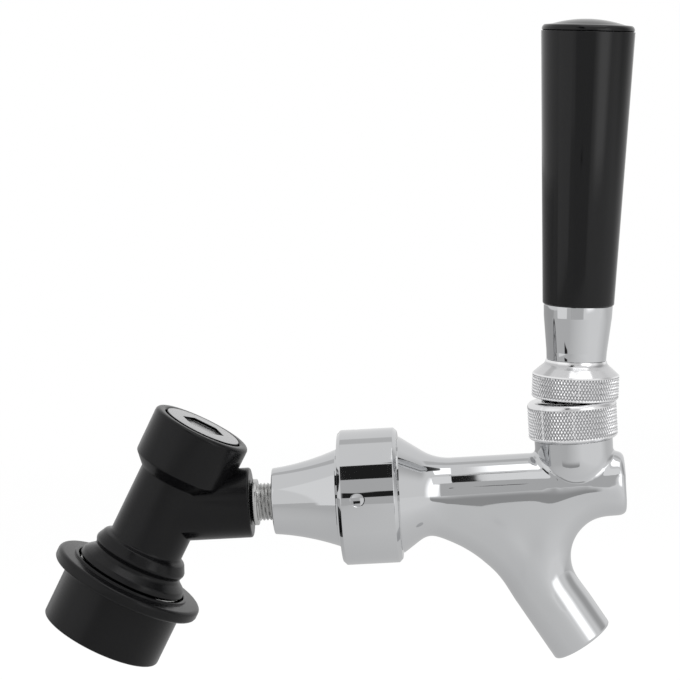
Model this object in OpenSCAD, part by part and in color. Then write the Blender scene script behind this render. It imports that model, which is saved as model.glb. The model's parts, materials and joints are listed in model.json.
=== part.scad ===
// Draught beer faucet on a ball-lock keg disconnect, in millimetres.
// Lengths along the faucet are measured from the lever neck's axis, towards the spout's side as +X.
// Heights are measured from the faucet's body axis.
// Stations on the disconnect are measured along its own axis, up from where the branch axis meets it.
// Heights on the lever are measured along its own axis, up from the ball's centre.
// The finished part is moved so that its origin is in the keg post socket.

/* [Faucet body] */
// Radius of the barrel where it is thickest
barrel_r = 8.9; // [8.2:0.1:10]
// Radius of the barrel's front end
barrel_front_r = 8.3; // [7:0.1:8.5]
// Distance of the front end from the neck's axis
front_x = 12.5; // [10.5:0.1:16]
// Radius of the rim of the rear trumpet
rim_r = 14.85; // [14.5:0.05:16]
// Distance of the rim behind the neck's axis
rim_x = 44.6; // [42:0.1:50]
// Radius of the curve between the trumpet and the barrel, seen from the side
flare_r = 13.4; // [8:0.2:20]
// Slope of the trumpet's cone from the body axis
flare_slope = 34; // [30:1:40]
// Radius of the rear thread
rear_thread_r = 14.2; // [13.6:0.05:14.4]
// Length of the rear thread
rear_thread_len = 10.2; // [8:0.1:14]
// Radius of the bore that the valve shaft slides in
shaft_bore_r = 5.8; // [5.2:0.05:6.2]
// Radius of the chamber behind the valve seat
rear_chamber_r = 8.8; // [8.4:0.1:11]
// Distance of the valve seat's narrow end behind the neck's axis
seat_x = 44.5; // [43:0.1:46]

/* [Spout] */
// Radius of the spout
spout_r = 8.3; // [7.6:0.1:8.6]
// Radius of the spout's bore at its mouth
spout_bore_r = 5.2; // [4.9:0.1:6]
// Length of the bore that takes a filling tube
outlet_len = 24; // [16:0.5:26]
// Radius of the passage above it
spout_passage_r = 4.7; // [4:0.1:4.8]
// Lean of the spout from straight down, towards the front
spout_lean = 31; // [20:0.5:40]
// Distance behind the neck's axis where the spout's axis meets the body axis
spout_x = 24.7; // [22:0.1:28]
// Length of the spout from the body axis to its tip
spout_len = 47.2; // [40:0.1:60]
// Radius of the crotch between the barrel and the spout's front
crotch_front_r = 10.3; // [8:0.1:14]
// Radius of the crotch between the barrel and the spout's back
crotch_back_r = 31.3; // [24:0.1:34]
// Drop of the back crotch's bend below the body axis
crotch_back_drop = 1.5; // [0:0.1:3]
// Width of the bevel round the spout's tip
spout_bevel = 0.5; // [0.2:0.1:1]

/* [Neck and bonnet] */
// Radius of the neck
neck_r = 9.95; // [9.6:0.05:10.2]
// Height of the neck's ball-shaped bottom's centre
neck_ball_z = 7.9; // [7:0.1:8.5]
// Height of the neck's top under the bonnet
neck_top_z = 17.2; // [16.6:0.1:17.6]
// Radius of the neck's thread
neck_thread_r = 8.85; // [8.7:0.05:9]
// Radius of the socket for the lever's ball
ball_socket_r = 7.55; // [7.4:0.05:7.7]
// Outer radius of the bonnet
bonnet_r = 11.35; // [11:0.05:11.6]
// Height of the bonnet's lower face
bonnet_z = 12.3; // [11.6:0.1:13]
// Height of the bonnet's top face
bonnet_top_z = 22.2; // [21.8:0.1:22.3]
// Bevel round the bonnet's top
bonnet_bevel = 1.3; // [1.2:0.1:1.6]

/* [Lever] */
// Height of the ball's centre, which the lever turns about
pivot_z = 12.5; // [12:0.1:13]
// Lean of the closed lever from upright, towards the front
lever_lean = 5; // [2:0.5:6]
// Travel of the lever from closed to open
lever_travel = 15; // [10:1:15]
// Radius of the lever's ball
ball_r = 7; // [6.8:0.05:7.1]
// Radius of the lever's stem above the ball
stem_r = 3.4; // [3:0.1:3.5]
// Radius of the lever's finger below the ball
finger_r = 2.4; // [2:0.1:2.5]
// Radius of the finger's round tip
tip_r = 2.7; // [2.4:0.05:2.8]
// Radius of the lever's thread
lever_thread_r = 4.76; // [4:0.02:5]
// Height of the lever's top end
lever_top_h = 31; // [26:0.5:33]

/* [Lever collar] */
// Outer radius of the collar
collar_r = 11.05; // [11:0.05:11.4]
// Height of the collar's lower rim
collar_h = 10.3; // [10.3:0.05:10.8]
// Height of the collar's knurled band
collar_knurl_len = 6.2; // [5.5:0.1:7]
// Height of the hollow under the collar
collar_hollow_len = 2.9; // [2.8:0.1:3.4]
// Thickness of the collar's rim round the hollow
collar_rim = 1.15; // [1:0.05:1.2]

/* [Handle] */
// Height of the ferrule's lower end
ferrule_h = 20; // [19.8:0.1:21]
// Radius of the ferrule's lower end
ferrule_low_r = 7.55; // [7:0.05:8]
// Radius of the ferrule's upper end
ferrule_top_r = 8.75; // [8:0.05:9]
// Height of the handle's lower end
grip_h = 34.1; // [33.8:0.1:38]
// Radius of the handle's lower end
grip_low_r = 9.05; // [8.8:0.05:10]
// Height of the rim below the handle's domed cap
grip_top_h = 102.9; // [70:0.1:130]
// Radius of the handle's upper end
grip_top_r = 11.8; // [10:0.1:14]
// Height of the domed cap above its rim
cap_dome_len = 3.1; // [2:0.1:5]
// Radius of the stud that joins the ferrule and the handle
handle_stud_r = 4; // [3:0.1:4.5]

/* [Coupling] */
// Outer radius of the coupling nut
nut_r = 17.3; // [16.6:0.1:19]
// Length of the coupling nut
nut_len = 15.2; // [14.8:0.1:20]
// Bevel on the coupling nut's edges
nut_bevel = 0.8; // [0.5:0.1:1.4]
// Radius of the coupling nut's spanner holes
spanner_hole_r = 1.65; // [1:0.05:2]
// Number of spanner holes round the coupling nut
spanner_holes = 4; // [2:1:6]
// Distance of the spanner holes behind the nut's front face
spanner_hole_back = 10.1; // [7:0.1:10.5]
// Turn of the near hole up from the side, as the tightened nut stands
spanner_turn = 7.3; // [0:0.1:45]
// Radius of the adapter's front land
adapter_land_r = 12.6; // [12:0.05:13]
// Radius of the adapter's rear end
adapter_rear_r = 8.5; // [8:0.1:9.5]
// Length of the adapter's flared tail behind the coupling nut
adapter_tail_len = 17.3; // [14:0.1:24]
// Radius of the bore through the adapter
adapter_bore_r = 3.5; // [2.5:0.1:4]
// Thickness of the coupling gasket
gasket_len = 1.2; // [0.8:0.1:2]

/* [Threaded stud] */
// Radius of the stud's thread
stud_r = 4.86; // [4.5:0.02:5.5]
// Radius of the stud's flange
stud_flange_r = 5.95; // [5.5:0.05:6.5]
// Thickness of the stud's flange
stud_flange_len = 1.7; // [1:0.1:2.5]
// Bare length of thread between the flange and the adapter
stud_bare_len = 4; // [2:0.1:8]
// Radius of the bore through the stud
stud_bore_r = 2.5; // [2:0.1:3]

/* [Keg disconnect] */
// Lean of the disconnect's axis from upright, towards the faucet
disc_lean = 29.5; // [20:0.5:35]
// Length of the branch from the disconnect's axis to its end
branch_len = 22.8; // [20:0.1:28]
// Radius of the branch
branch_r = 9; // [8.4:0.1:9.2]
// Radius of the tube between the head and the bell
tube_r = 9.9; // [9.5:0.05:10.2]
// Radius of the head
head_r = 13; // [12.6:0.1:15]
// Station of the head's top
head_top_s = 23.4; // [22:0.1:28]
// Station of the head's lower edge
head_low_s = 11; // [10.8:0.1:12]
// Radius of the bell over the release collar's spring
bell_r = 14.6; // [14.4:0.05:15]
// Station of the bell's lower edge
bell_s = -19.6; // [-19.8:0.1:-19.4]
// Radius of the spigot inside the release collar
spigot_r = 12.4; // [12.2:0.05:12.6]
// Station of the spigot's lower end
spigot_s = -35; // [-36:0.1:-34.6]
// Radius of the socket that guides the keg post
post_r = 9; // [8.9:0.05:9.1]
// Radius of the bore that seals on the keg post's nose
nose_r = 7.8; // [7:0.1:8]
// Radius of the poppet's chamber
chamber_r = 5.6; // [5:0.1:5.8]

/* [Release collar] */
// Radius of the collar's finger flange
flange_r = 20; // [18.5:0.1:22]
// Thickness of the finger flange
flange_len = 3.2; // [2.5:0.1:4]
// Outer radius of the skirt
skirt_r = 16.1; // [15.9:0.1:17]
// Station of the skirt's lower edge
skirt_s = -38.3; // [-40:0.1:-37.5]
// Travel of the release collar from locked to released
collar_lift = 4; // [3:0.1:4]

/* [Locking balls] */
// Number of locking balls
ball_count = 4; // [4:1:4]
// Radius of a locking ball
lock_ball_r = 2.38; // [2.2:0.02:2.4]
// Station of the locking balls
lock_ball_s = -30; // [-30.2:0.1:-29.8]
// Distance of a locked ball's centre from the disconnect's axis
lock_ball_d = 10.75; // [10.7:0.05:10.9]
// Outward travel of a ball when the release collar is lifted
lock_ball_travel = 0.8; // [0.6:0.05:0.8]

/* [Clearances] */
// Radial clearance of a sliding or screwed fit
fit_gap = 0.08; // [0.05:0.01:0.1]
// Clearance round the lever's ball and tip
ball_gap = 0.12; // [0.1:0.01:0.15]
// Gap between faces that pass one another
face_gap = 0.15; // [0.1:0.01:0.2]

/* [Hidden] */
$fn = 96;
eps = 0.01;

chrome = "gainsboro";
black = [0.09, 0.09, 0.09];

// Stations along the faucet, as x values
nut_front_x = -rim_x - 0.5;
nut_rear_x = nut_front_x - nut_len;
body_rear_x = nut_front_x - rear_thread_len;
adapter_front_x = body_rear_x - gasket_len;
adapter_flange_len = 1.8;
adapter_land_x = nut_rear_x + 0.5;
adapter_rear_x = nut_rear_x - adapter_tail_len;
adapter_pocket_len = 11;
pocket_x = adapter_rear_x + adapter_pocket_len;
nipple_washer_len = 1.6;
nut_bore_r = rear_thread_r + fit_gap;
nut_lip_x = adapter_front_x - adapter_flange_len - face_gap;
stud_flange_x = adapter_rear_x - stud_bare_len - stud_flange_len;
stud_grip_len = 9.6;
stud_end_x = stud_flange_x - stud_grip_len;
disc_x = stud_flange_x - branch_len;

// The keg post socket's guiding stretch, and its middle, which is the part's origin
mouth_r = post_r + 0.4;
guide_low_s = lock_ball_s + lock_ball_r + 0.4;
guide_top_s = -21;
socket_s = (guide_low_s + guide_top_s) / 2;
origin_x = disc_x + socket_s * sin(disc_lean);
origin_z = socket_s * cos(disc_lean);

// The valve: the tip of the lever's finger moves the shaft
finger_len = pivot_z;
finger_waist_r = 1.7;
tip_rest_x = -finger_len * sin(lever_lean);
shaft_travel = finger_len * (sin(lever_lean + lever_travel) - sin(lever_lean));
slot_half = tip_r + ball_gap;
slot_top_z = 2.4;
slot_floor_z = tip_r + 0.5;
shaft_land_r = shaft_bore_r - fit_gap;
shaft_land_front_x = tip_rest_x + slot_half + 3.2;
shaft_land_rear_x = tip_rest_x - slot_half - 3.6;
shaft_rod_r = 3.2;
shaft_stud_r = 2;
bore_front_x = shaft_land_front_x + 0.6;
seat_front_x = -seat_x - 0.7;
seat_len = rear_chamber_r - shaft_bore_r;
washer_r = rear_chamber_r - 1.1;
washer_len = 3.4;
washer_face_r = shaft_bore_r + 0.7 - face_gap * sqrt(2);
seat_nut_len = 2.8;
seat_nut_flat = 7;
guide_x = -38;
guide_flat = 8;

// The bends' radius keeps them inside the barrel and the spout where they join
bend_r = min(spout_r, barrel_front_r) - 0.06;
front_round = 1.9;

// The lever's ball and the pieces that hold it
stem_room_r = 6.3;
washer_top_z = pivot_z - 2.9;
socket_floor_z = pivot_z - 6.3;
finger_room_r = 5.05;
bushing_low_z = pivot_z + 2.9;
bushing_top_z = neck_top_z + 1.2;
bonnet_hole_r = 7.7;

// Heights on the lever
thread_low_h = collar_h + collar_hollow_len;
collar_knurl_top_h = collar_h + collar_knurl_len;
ferrule_len = grip_h - ferrule_h;
ferrule_socket_len = lever_top_h - ferrule_h + 0.6;
stud_low_h = max(lever_top_h + 1.2, grip_h - 1.9);
stud_top_h = grip_h + 14;
cap_plug_len = 6;
cap_plug_r = grip_top_r - 3.2;

// Stations on the disconnect
bell_hollow_r = 2.9;
bead_r = 12.4;
bead_s = bell_s + 4.9;
collar_top_s = bell_s - 0.7;
collar_lip_w = 0.9;
collar_bore_r = bell_r + 0.3;
spring_seat_s = lock_ball_s + 2.4;
ramp_slope = lock_ball_travel / collar_lift;
ramp_r = lock_ball_d + lock_ball_r * sqrt(1 + pow(ramp_slope, 2)) + 0.04;
ramp_low_s = lock_ball_s - 5.5;
ring_top_s = lock_ball_s - lock_ball_r - 0.3;
ring_len = 1;
ring_r = ramp_r + ramp_slope * (lock_ball_s - ring_top_s) - face_gap;
ring_groove_r = spigot_r - 0.8;
web_top_s = -12;
web_low_s = -15;
web_hole_r = 2.6;
chamber_top_s = 10.2;
cap_seat_s = head_top_s - 1.6;
cap_disc_r = head_r - 2.85;
cap_thread_r = 9;
cap_plug_s = chamber_top_s + 2.1;
cap_pilot_s = 7.4;
hex_flat = 9.5;
hex_depth = 1;
pin_r = 1.5;
pin_low_s = guide_top_s + 2;
poppet_head_r = 4.6;
poppet_boss_r = 3;
head_s = -10.1;
head_len = 3.6;
head_plate_len = 1.6;
spring_coil_r = 3.7;
spring_wire_r = 0.35;
o_ring_r = 0.9;

// Points on an arc about [cx, cy], from angle a0 to a1
function arc(cx, cy, r, a0, a1, steps = 12) =
    [for (i = [0:steps]) let (a = a0 + (a1 - a0) * i / steps) [cx + r * cos(a), cy + r * sin(a)]];

// Turns a list of [x, radius] points about the body axis
module turned(points) {
    rotate([0, 90, 0])
        rotate_extrude()
            polygon([for (p = points) [p[1], p[0]]]);
}

// Turns a list of [radius, height] points about the upright axis
module lathed(points) {
    rotate_extrude()
        polygon(points);
}

module rod_x(r, x0, x1) {
    translate([x0, 0, 0])
        rotate([0, 90, 0])
            cylinder(r = r, h = x1 - x0);
}

module tube_x(r_out, r_in, x0, x1) {
    difference() {
        rod_x(r_out, x0, x1);
        rod_x(r_in, x0 - 1, x1 + 1);
    }
}

module ring_o(major, minor) {
    rotate_extrude()
        translate([major, 0])
            circle(r = minor, $fn = 32);
}

// A coil spring of round wire, standing on z = 0, as one swept solid
module coil(wire_r, coil_r, len, turns, sides = 8, steps = 18) {
    rings = turns * steps;
    function centre(i) =
        [coil_r * cos(360 * i / steps), coil_r * sin(360 * i / steps), wire_r + (len - 2 * wire_r) * i / rings];
    points = [for (i = [0:rings]) for (k = [0:sides - 1])
        let (a = 360 * i / steps, b = 360 * k / sides)
        centre(i) + wire_r * [cos(b) * cos(a), cos(b) * sin(a), sin(b)]];
    walls = [for (i = [0:rings - 1]) for (k = [0:sides - 1])
        let (n = (k + 1) % sides)
        [i * sides + k, (i + 1) * sides + k, (i + 1) * sides + n, i * sides + n]];
    ends = [[for (k = [0:sides - 1]) k], [for (k = [sides - 1:-1:0]) rings * sides + k]];
    polyhedron(points = points, faces = concat(walls, ends), convexity = 10);
}

// Places a piece drawn in the faucet's measures into the part's frame
module placed() {
    translate([-origin_x, 0, -origin_z])
        children();
}

module on_lever() {
    placed()
        translate([0, 0, pivot_z])
            rotate([0, lever_lean, 0])
                children();
}

module on_disconnect() {
    placed()
        translate([disc_x, 0, 0])
            rotate([0, disc_lean, 0])
                children();
}

// The faucet body's outer form: barrel and trumpet, neck, spout and the two crotches
module barrel() {
    waist_r = barrel_r - 0.1;
    curve_drop = flare_r * (1 - cos(flare_slope));
    cone_len = (rim_r - waist_r - curve_drop) / tan(flare_slope);
    waist_x = -rim_x + cone_len + flare_r * sin(flare_slope);
    curve = arc(waist_x, waist_r + flare_r, flare_r, -90 - flare_slope, -90);
    turned(concat(
        [[-rim_x - 0.35, 0], [-rim_x - 0.35, rim_r], [-rim_x, rim_r]],
        curve,
        [[-12, barrel_r], [0, barrel_r - 0.3], [front_x - front_round, barrel_front_r]],
        arc(front_x - front_round, barrel_front_r - front_round, front_round, 80, 0, 6),
        [[front_x, 0]]));
}

module neck() {
    translate([0, 0, neck_ball_z])
        sphere(r = neck_r);
    translate([0, 0, neck_ball_z])
        cylinder(r = neck_r - eps, h = bonnet_z - face_gap - neck_ball_z);
    translate([0, 0, neck_ball_z])
        cylinder(r = neck_thread_r, h = neck_top_z - neck_ball_z);
}

module on_spout() {
    translate([-spout_x, 0, 0])
        rotate([0, 180 - spout_lean, 0])
            children();
}

module spout() {
    on_spout()
        lathed([[0, 0], [spout_r, 0], [spout_r, spout_len - spout_bevel],
            [spout_r - spout_bevel, spout_len], [0, spout_len]]);
}

// A bend of round section about [cx, cz], whose inner side rounds a crotch of radius crotch_r
module bend(cx, cz, crotch_r, start, sweep) {
    translate([cx, 0, cz])
        rotate([90, 0, 0])
            rotate([0, 0, start])
                rotate_extrude(angle = sweep)
                    translate([crotch_r + bend_r, 0])
                        circle(r = bend_r);
}

// The bends are tangent to the spout, and leave the barrel along it or a little below its axis
module crotches() {
    front_cz = -crotch_front_r - bend_r;
    front_cx = (crotch_front_r + bend_r - front_cz * sin(spout_lean)) / cos(spout_lean) - spout_x;
    back_cz = -crotch_back_r - bend_r - crotch_back_drop;
    back_cx = -(crotch_back_r + bend_r + back_cz * sin(spout_lean)) / cos(spout_lean) - spout_x;
    bend(front_cx, front_cz, crotch_front_r, 90, 90 + spout_lean);
    bend(back_cx, back_cz, crotch_back_r, spout_lean, 90 - spout_lean);
}

module faucet_outside() {
    barrel();
    neck();
    spout();
    crotches();
}

module faucet_body() {
    placed() color(chrome)
        difference() {
            union() {
                faucet_outside();
                rod_x(rear_thread_r, body_rear_x, -rim_x - 0.3);
            }
            turned([[body_rear_x - 1, 0], [body_rear_x - 1, rear_chamber_r], [-seat_x - seat_len, rear_chamber_r],
                [-seat_x, shaft_bore_r], [bore_front_x, shaft_bore_r], [bore_front_x, 0]]);
            translate([0, 0, socket_floor_z])
                cylinder(r = ball_socket_r, h = neck_top_z);
            cylinder(r = finger_room_r, h = neck_top_z);
            on_spout() {
                cylinder(r = spout_passage_r, h = spout_len);
                translate([0, 0, spout_len - outlet_len])
                    cylinder(r = spout_bore_r, h = outlet_len + 1);
            }
        }
}

module coupling_nut() {
    placed() color(chrome)
        difference() {
            turned([[nut_rear_x, adapter_land_r + 0.3], [nut_rear_x, nut_r - nut_bevel],
                [nut_rear_x + nut_bevel, nut_r], [nut_front_x - nut_bevel, nut_r],
                [nut_front_x, nut_r - nut_bevel], [nut_front_x, nut_bore_r],
                [nut_lip_x, nut_bore_r], [nut_lip_x, adapter_land_r + 0.3]]);
            for (i = [0:spanner_holes - 1])
                translate([nut_front_x - spanner_hole_back, 0, 0])
                    rotate([i * 360 / spanner_holes + 90 - spanner_turn, 0, 0])
                        translate([0, 0, nut_bore_r + 0.4])
                            cylinder(r = spanner_hole_r, h = nut_r, $fn = 32);
        }
}

module coupling_gasket() {
    placed() color("dimgray")
        tube_x(rear_thread_r - 0.6, 6.5, adapter_front_x, body_rear_x);
}

module adapter() {
    flare_len = adapter_land_x - adapter_rear_x - 1.6;
    steps = 10;
    flare = [for (i = [0:steps]) let (t = i / steps)
        [adapter_rear_x + 0.3 + flare_len * t,
            adapter_rear_r + (adapter_land_r - adapter_rear_r) * (0.42 * t + 0.58 * pow(t, 2))]];
    placed() color(chrome)
        difference() {
            turned(concat(
                [[adapter_rear_x, 0], [adapter_rear_x, adapter_rear_r - 0.4]],
                flare,
                [[adapter_land_x, adapter_land_r], [adapter_front_x - adapter_flange_len, adapter_land_r],
                    [adapter_front_x - adapter_flange_len, nut_bore_r - 0.4],
                    [adapter_front_x, nut_bore_r - 0.4], [adapter_front_x, 0]]));
            rod_x(stud_r + fit_gap, adapter_rear_x - 1, pocket_x);
            rod_x(adapter_bore_r, adapter_rear_x, adapter_front_x + 1);
        }
}

module nipple_washer() {
    placed() color("ivory")
        tube_x(stud_r - 0.2, stud_bore_r, pocket_x - nipple_washer_len, pocket_x);
}

module branch_nipple() {
    flange_x = stud_flange_x + stud_flange_len;
    placed() color("silver")
        difference() {
            turned([[stud_end_x, 0], [stud_end_x, stud_r], [stud_flange_x, stud_r],
                [stud_flange_x, stud_flange_r - 0.2], [stud_flange_x + 0.2, stud_flange_r],
                [flange_x - 0.2, stud_flange_r], [flange_x, stud_flange_r - 0.2], [flange_x, stud_r],
                [pocket_x - nipple_washer_len, stud_r], [pocket_x - nipple_washer_len, 0]]);
            rod_x(stud_bore_r, stud_end_x - 1, pocket_x + 1);
        }
}

// The valve: a shaft with a slot for the lever's finger, a four-sided guide and a rubber seat washer
module valve_shaft() {
    placed() color("silver")
        difference() {
            union() {
                turned([[seat_front_x - washer_len - seat_nut_len - 1, 0],
                    [seat_front_x - washer_len - seat_nut_len - 1, shaft_stud_r - 0.3],
                    [seat_front_x - washer_len - seat_nut_len - 0.7, shaft_stud_r],
                    [seat_front_x, shaft_stud_r], [seat_front_x, shaft_rod_r],
                    [shaft_land_rear_x, shaft_rod_r], [shaft_land_rear_x, shaft_land_r - 0.5],
                    [shaft_land_rear_x + 0.5, shaft_land_r], [shaft_land_front_x - 0.5, shaft_land_r],
                    [shaft_land_front_x, shaft_land_r - 0.5], [shaft_land_front_x, 0]]);
                intersection() {
                    rod_x(shaft_land_r, guide_x - 2, guide_x + 2);
                    translate([guide_x - 3, -guide_flat / 2, -guide_flat / 2])
                        cube([6, guide_flat, guide_flat]);
                }
            }
            translate([tip_rest_x - slot_half, -slot_half, -slot_floor_z])
                cube([2 * slot_half, 2 * slot_half, 20]);
            translate([shaft_land_rear_x - 1, -shaft_bore_r, slot_top_z])
                cube([shaft_land_front_x - shaft_land_rear_x + 2, 2 * shaft_bore_r, 10]);
        }
}

module seat_washer() {
    seat_run = washer_r - washer_face_r;
    placed() color([0.15, 0.15, 0.16])
        difference() {
            turned([[seat_front_x - washer_len, 0], [seat_front_x - washer_len, washer_r],
                [seat_front_x - seat_run, washer_r], [seat_front_x, washer_face_r], [seat_front_x, 0]]);
            rod_x(shaft_stud_r, seat_front_x - washer_len - 1, seat_front_x + 1);
        }
}

module seat_nut() {
    nut_front = seat_front_x - washer_len;
    placed() color("silver")
        difference() {
            translate([nut_front - seat_nut_len, 0, 0])
                rotate([0, 90, 0])
                    cylinder(d = seat_nut_flat / cos(30), h = seat_nut_len, $fn = 6);
            rod_x(shaft_stud_r, nut_front - seat_nut_len - 1, nut_front + 1);
        }
}

module ball_washer() {
    placed() color("ivory")
        difference() {
            translate([0, 0, socket_floor_z])
                cylinder(r = ball_socket_r - fit_gap, h = washer_top_z - socket_floor_z);
            translate([0, 0, pivot_z])
                sphere(r = ball_r + ball_gap);
            cylinder(r = finger_room_r, h = pivot_z);
        }
}

module ball_bushing() {
    placed() color("ivory")
        difference() {
            translate([0, 0, bushing_low_z])
                cylinder(r = ball_socket_r - fit_gap, h = bushing_top_z - bushing_low_z);
            translate([0, 0, pivot_z])
                sphere(r = ball_r + ball_gap);
            translate([0, 0, pivot_z])
                cylinder(r1 = 4.9, r2 = stem_room_r, h = bushing_top_z - pivot_z + eps);
        }
}

module bonnet() {
    placed() color(chrome)
        difference() {
            lathed([[0, bonnet_z], [bonnet_r - 0.9, bonnet_z], [bonnet_r, bonnet_z + 0.9],
                [bonnet_r, bonnet_top_z - bonnet_bevel], [bonnet_r - bonnet_bevel, bonnet_top_z],
                [0, bonnet_top_z]]);
            translate([0, 0, bonnet_z - 1])
                cylinder(r = neck_thread_r + fit_gap, h = neck_top_z + 0.2 - bonnet_z + 1);
            translate([0, 0, bonnet_z])
                cylinder(r = ball_socket_r + 0.05, h = bushing_top_z - bonnet_z);
            translate([0, 0, bushing_top_z - eps])
                cylinder(r1 = stem_room_r, r2 = bonnet_hole_r, h = bonnet_top_z - bushing_top_z + 2 * eps);
        }
}

// The lever: ball, threaded stem above it and finger with a round tip below it
module lever() {
    on_lever() color("silver") {
        sphere(r = ball_r);
        lathed([[0, -finger_len], [finger_waist_r, -finger_len], [finger_waist_r, -finger_len + 2.5],
            [finger_r, -finger_len + 5.5], [finger_r, 0], [stem_r, 0], [stem_r, thread_low_h],
            [lever_thread_r, thread_low_h], [lever_thread_r, lever_top_h - 0.7],
            [lever_thread_r - 0.7, lever_top_h], [0, lever_top_h]]);
        translate([0, 0, -finger_len])
            sphere(r = tip_r);
    }
}

module lever_collar() {
    shoulder_r = ferrule_low_r + 0.1;
    on_lever() color(chrome)
        difference() {
            lathed([[0, collar_h], [collar_r - 0.3, collar_h], [collar_r, collar_h + 0.3],
                [collar_r, collar_knurl_top_h - 0.3], [collar_r - 0.3, collar_knurl_top_h],
                [shoulder_r + 1.3, collar_knurl_top_h + 1.7], [shoulder_r + 0.3, ferrule_h - 1],
                [shoulder_r, ferrule_h], [0, ferrule_h]]);
            translate([0, 0, collar_h - 1])
                cylinder(r = collar_r - collar_rim, h = collar_hollow_len + 1);
            cylinder(r = lever_thread_r, h = ferrule_h + 1);
        }
}

module handle_ferrule() {
    on_lever() color(chrome)
        difference() {
            lathed([[0, ferrule_h], [ferrule_low_r - 0.3, ferrule_h], [ferrule_low_r, ferrule_h + 0.3],
                [ferrule_low_r + (ferrule_top_r - ferrule_low_r) * 0.85, grip_h - 4],
                [ferrule_top_r, grip_h - 2], [ferrule_top_r, grip_h], [0, grip_h]]);
            translate([0, 0, ferrule_h - 1])
                cylinder(r = lever_thread_r, h = ferrule_socket_len + 1);
            cylinder(r = handle_stud_r, h = grip_h + 1);
        }
}

module handle_stud() {
    on_lever() color("silver")
        translate([0, 0, stud_low_h])
            cylinder(r = handle_stud_r, h = stud_top_h - stud_low_h);
}

module handle_grip() {
    on_lever() color(black)
        difference() {
            lathed([[0, grip_h], [grip_low_r - 0.4, grip_h], [grip_low_r, grip_h + 0.4],
                [grip_top_r, grip_top_h], [0, grip_top_h]]);
            translate([0, 0, grip_h - 1])
                cylinder(r = handle_stud_r, h = stud_top_h - grip_h + 1.6);
            translate([0, 0, grip_top_h - cap_plug_len])
                cylinder(r = cap_plug_r, h = cap_plug_len + 1);
        }
}

module handle_cap() {
    rim_len = 0.5;
    edge_round = 1.6;
    dome_edge_r = grip_top_r - 0.15;
    dome_len = cap_dome_len - rim_len - 0.8;
    dome_r = (pow(dome_edge_r - edge_round, 2) + pow(dome_len, 2)) / (2 * dome_len);
    dome_a = asin((dome_edge_r - edge_round) / dome_r);
    edge_z = grip_top_h + rim_len;
    on_lever() color(black)
        lathed(concat(
            [[0, grip_top_h - cap_plug_len + 0.3], [cap_plug_r - 0.05, grip_top_h - cap_plug_len + 0.3],
                [cap_plug_r - 0.05, grip_top_h], [dome_edge_r, grip_top_h], [dome_edge_r, edge_z],
                [dome_edge_r - 0.35, edge_z + 0.45]],
            [for (p = arc(0, grip_top_h + cap_dome_len - dome_r, dome_r, 90 - dome_a, 90, 8))
                [max(0, p[0]), p[1]]]));
}

// The keg disconnect
module disconnect_outside() {
    lathed(concat(
        [[0, spigot_s], [spigot_r - 0.4, spigot_s], [spigot_r, spigot_s + 0.4], [spigot_r, bell_s],
            [bell_r, bell_s], [bell_r, bell_s + 0.6]],
        arc(bell_r - 0.2, bell_s + 3.5, bell_hollow_r, 272, 200, 6),
        [[bead_r - 0.5, bead_s - 0.8], [bead_r, bead_s], [bead_r, bead_s + 1.6], [bead_r - 0.8, bead_s + 2.7],
            [tube_r, bead_s + 3.8], [tube_r, head_low_s - 3.2], [head_r - 0.1, head_low_s],
            [head_r, head_top_s - 0.6]],
        arc(head_r - 0.6, head_top_s - 0.6, 0.6, 0, 90, 4),
        [[0, head_top_s]]));
}

module disconnect_body() {
    on_disconnect() color(black)
        difference() {
            union() {
                disconnect_outside();
                rotate([0, -disc_lean, 0]) {
                    rod_x(branch_r, 0, branch_len - 0.7);
                    rod_x(branch_r - 0.7, 0, branch_len);
                }
            }
            lathed([[0, spigot_s - 1], [mouth_r + 0.6, spigot_s - 1], [mouth_r + 0.6, spigot_s],
                [mouth_r, spigot_s + 0.8], [mouth_r, guide_low_s], [post_r, guide_low_s + 0.3],
                [post_r, guide_top_s], [nose_r, guide_top_s + 0.8], [nose_r, web_low_s], [0, web_low_s]]);
            translate([0, 0, web_low_s - 1])
                cylinder(r = web_hole_r, h = 10);
            translate([0, 0, web_top_s])
                cylinder(r = chamber_r, h = chamber_top_s - web_top_s + 1);
            translate([0, 0, chamber_top_s])
                cylinder(r = cap_thread_r + fit_gap, h = head_top_s);
            translate([0, 0, cap_seat_s])
                cylinder(r = cap_disc_r + 0.3, h = head_top_s);
            rotate([0, -disc_lean, 0]) {
                rod_x(stud_bore_r, 0, branch_len);
                rod_x(stud_r, branch_len - stud_grip_len - 0.3, branch_len + 1);
            }
            translate([0, 0, ring_top_s - ring_len])
                difference() {
                    cylinder(r = spigot_r + 1, h = ring_len);
                    cylinder(r = ring_groove_r, h = ring_len);
                }
            for (i = [1:ball_count])
                at_lock_ball(i) {
                    sphere(r = lock_ball_r + 0.05);
                    rotate([0, 90, 0])
                        cylinder(r = lock_ball_r + 0.08, h = 6);
                }
        }
}

module at_lock_ball(i) {
    rotate([0, 0, (i - 0.5) * 360 / ball_count])
        translate([lock_ball_d, 0, lock_ball_s])
            children();
}

module top_cap() {
    on_disconnect() color("darkgray")
        difference() {
            lathed([[0, cap_pilot_s], [chamber_r - 0.1, cap_pilot_s], [chamber_r - 0.1, cap_plug_s],
                [cap_thread_r, cap_plug_s], [cap_thread_r, cap_seat_s], [cap_disc_r, cap_seat_s],
                [cap_disc_r, head_top_s - 0.1], [cap_disc_r - 0.3, head_top_s + 0.2], [0, head_top_s + 0.2]]);
            translate([0, 0, head_top_s + 0.2 - hex_depth])
                cylinder(d = hex_flat / cos(30), h = 5, $fn = 6);
        }
}

module cap_o_ring() {
    seal_r = (cap_plug_s - chamber_top_s) / 2;
    on_disconnect() color([0.12, 0.12, 0.12])
        translate([0, 0, chamber_top_s + seal_r])
            ring_o((chamber_r + cap_thread_r) / 2, seal_r);
}

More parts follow.
